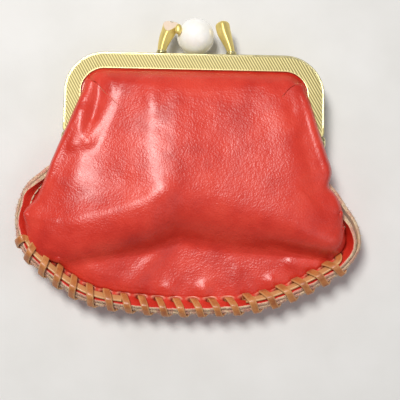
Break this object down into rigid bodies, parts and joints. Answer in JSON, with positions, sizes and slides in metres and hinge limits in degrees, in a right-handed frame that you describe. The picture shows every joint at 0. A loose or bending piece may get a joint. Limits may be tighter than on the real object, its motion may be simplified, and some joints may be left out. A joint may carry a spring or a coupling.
{
  "type": "coin purse",
  "caption": "Flat two-panel leather coin purse in a hinged metal frame with a ball-and-prong snap clasp, its rounded bottom edge whip-stitched with flat lace.",
  "frame": {"origin": "middle of the underside, on the surface the purse lies on", "axes": "+X along the hinge axis, +Y towards the clasp, +Z out of the front panel"},
  "size_m": [0.1358, 0.1176, 0.0249],
  "materials": {
    "frame_gold": "polished pale gold plate, engine-turned with fine slanting ribs on the outer faces",
    "clasp_pearl": "glossy white imitation pearl",
    "red_leather": "glossy red grain side, pale tan flesh side and fuzzy raw edges",
    "lace_leather": "satin tan-brown flat lacing",
    "packing_paper": "matt twisted paper cord",
    "seam_thread": "matt off-white sewing thread"
  },
  "bodies": {
    "pouch": {"back_frame": "frame_gold", "back_packing_cord": "packing_paper", "clasp_ball": "clasp_pearl", "ball_peg": "frame_gold", "hinge_rivet_left": "frame_gold", "hinge_rivet_right": "frame_gold", "side_seam_thread_left": "seam_thread", "side_seam_thread_right": "seam_thread", "front_panel_lower": "red_leather", "back_panel": "red_leather", "edge_lace": "lace_leather"},
    "front_half": {"front_frame": "frame_gold", "front_packing_cord": "packing_paper", "prong_left": "frame_gold", "prong_right": "frame_gold", "prong_foot_left": "frame_gold", "prong_foot_right": "frame_gold", "front_panel_upper": "red_leather"},
    "front_fold": {"front_panel_middle": "red_leather"}
  },
  "joints": [
    {"name": "frame_hinge", "type": "hinge", "parent": "pouch", "child": "front_half", "pos_m": [0.00157, 0.01002, 0.01], "axis": [1, 0, 0], "range_deg": [0, 70]},
    {"name": "front_leather_fold", "type": "hinge", "parent": "pouch", "child": "front_fold", "pos_m": [0.00157, 0.01002, 0.01], "axis": [1, 0, 0], "range_deg": [0, 35]}
  ],
  "couplings": [
    {"joint": "front_leather_fold", "follows": "frame_hinge", "ratio": 0.5}
  ]
}
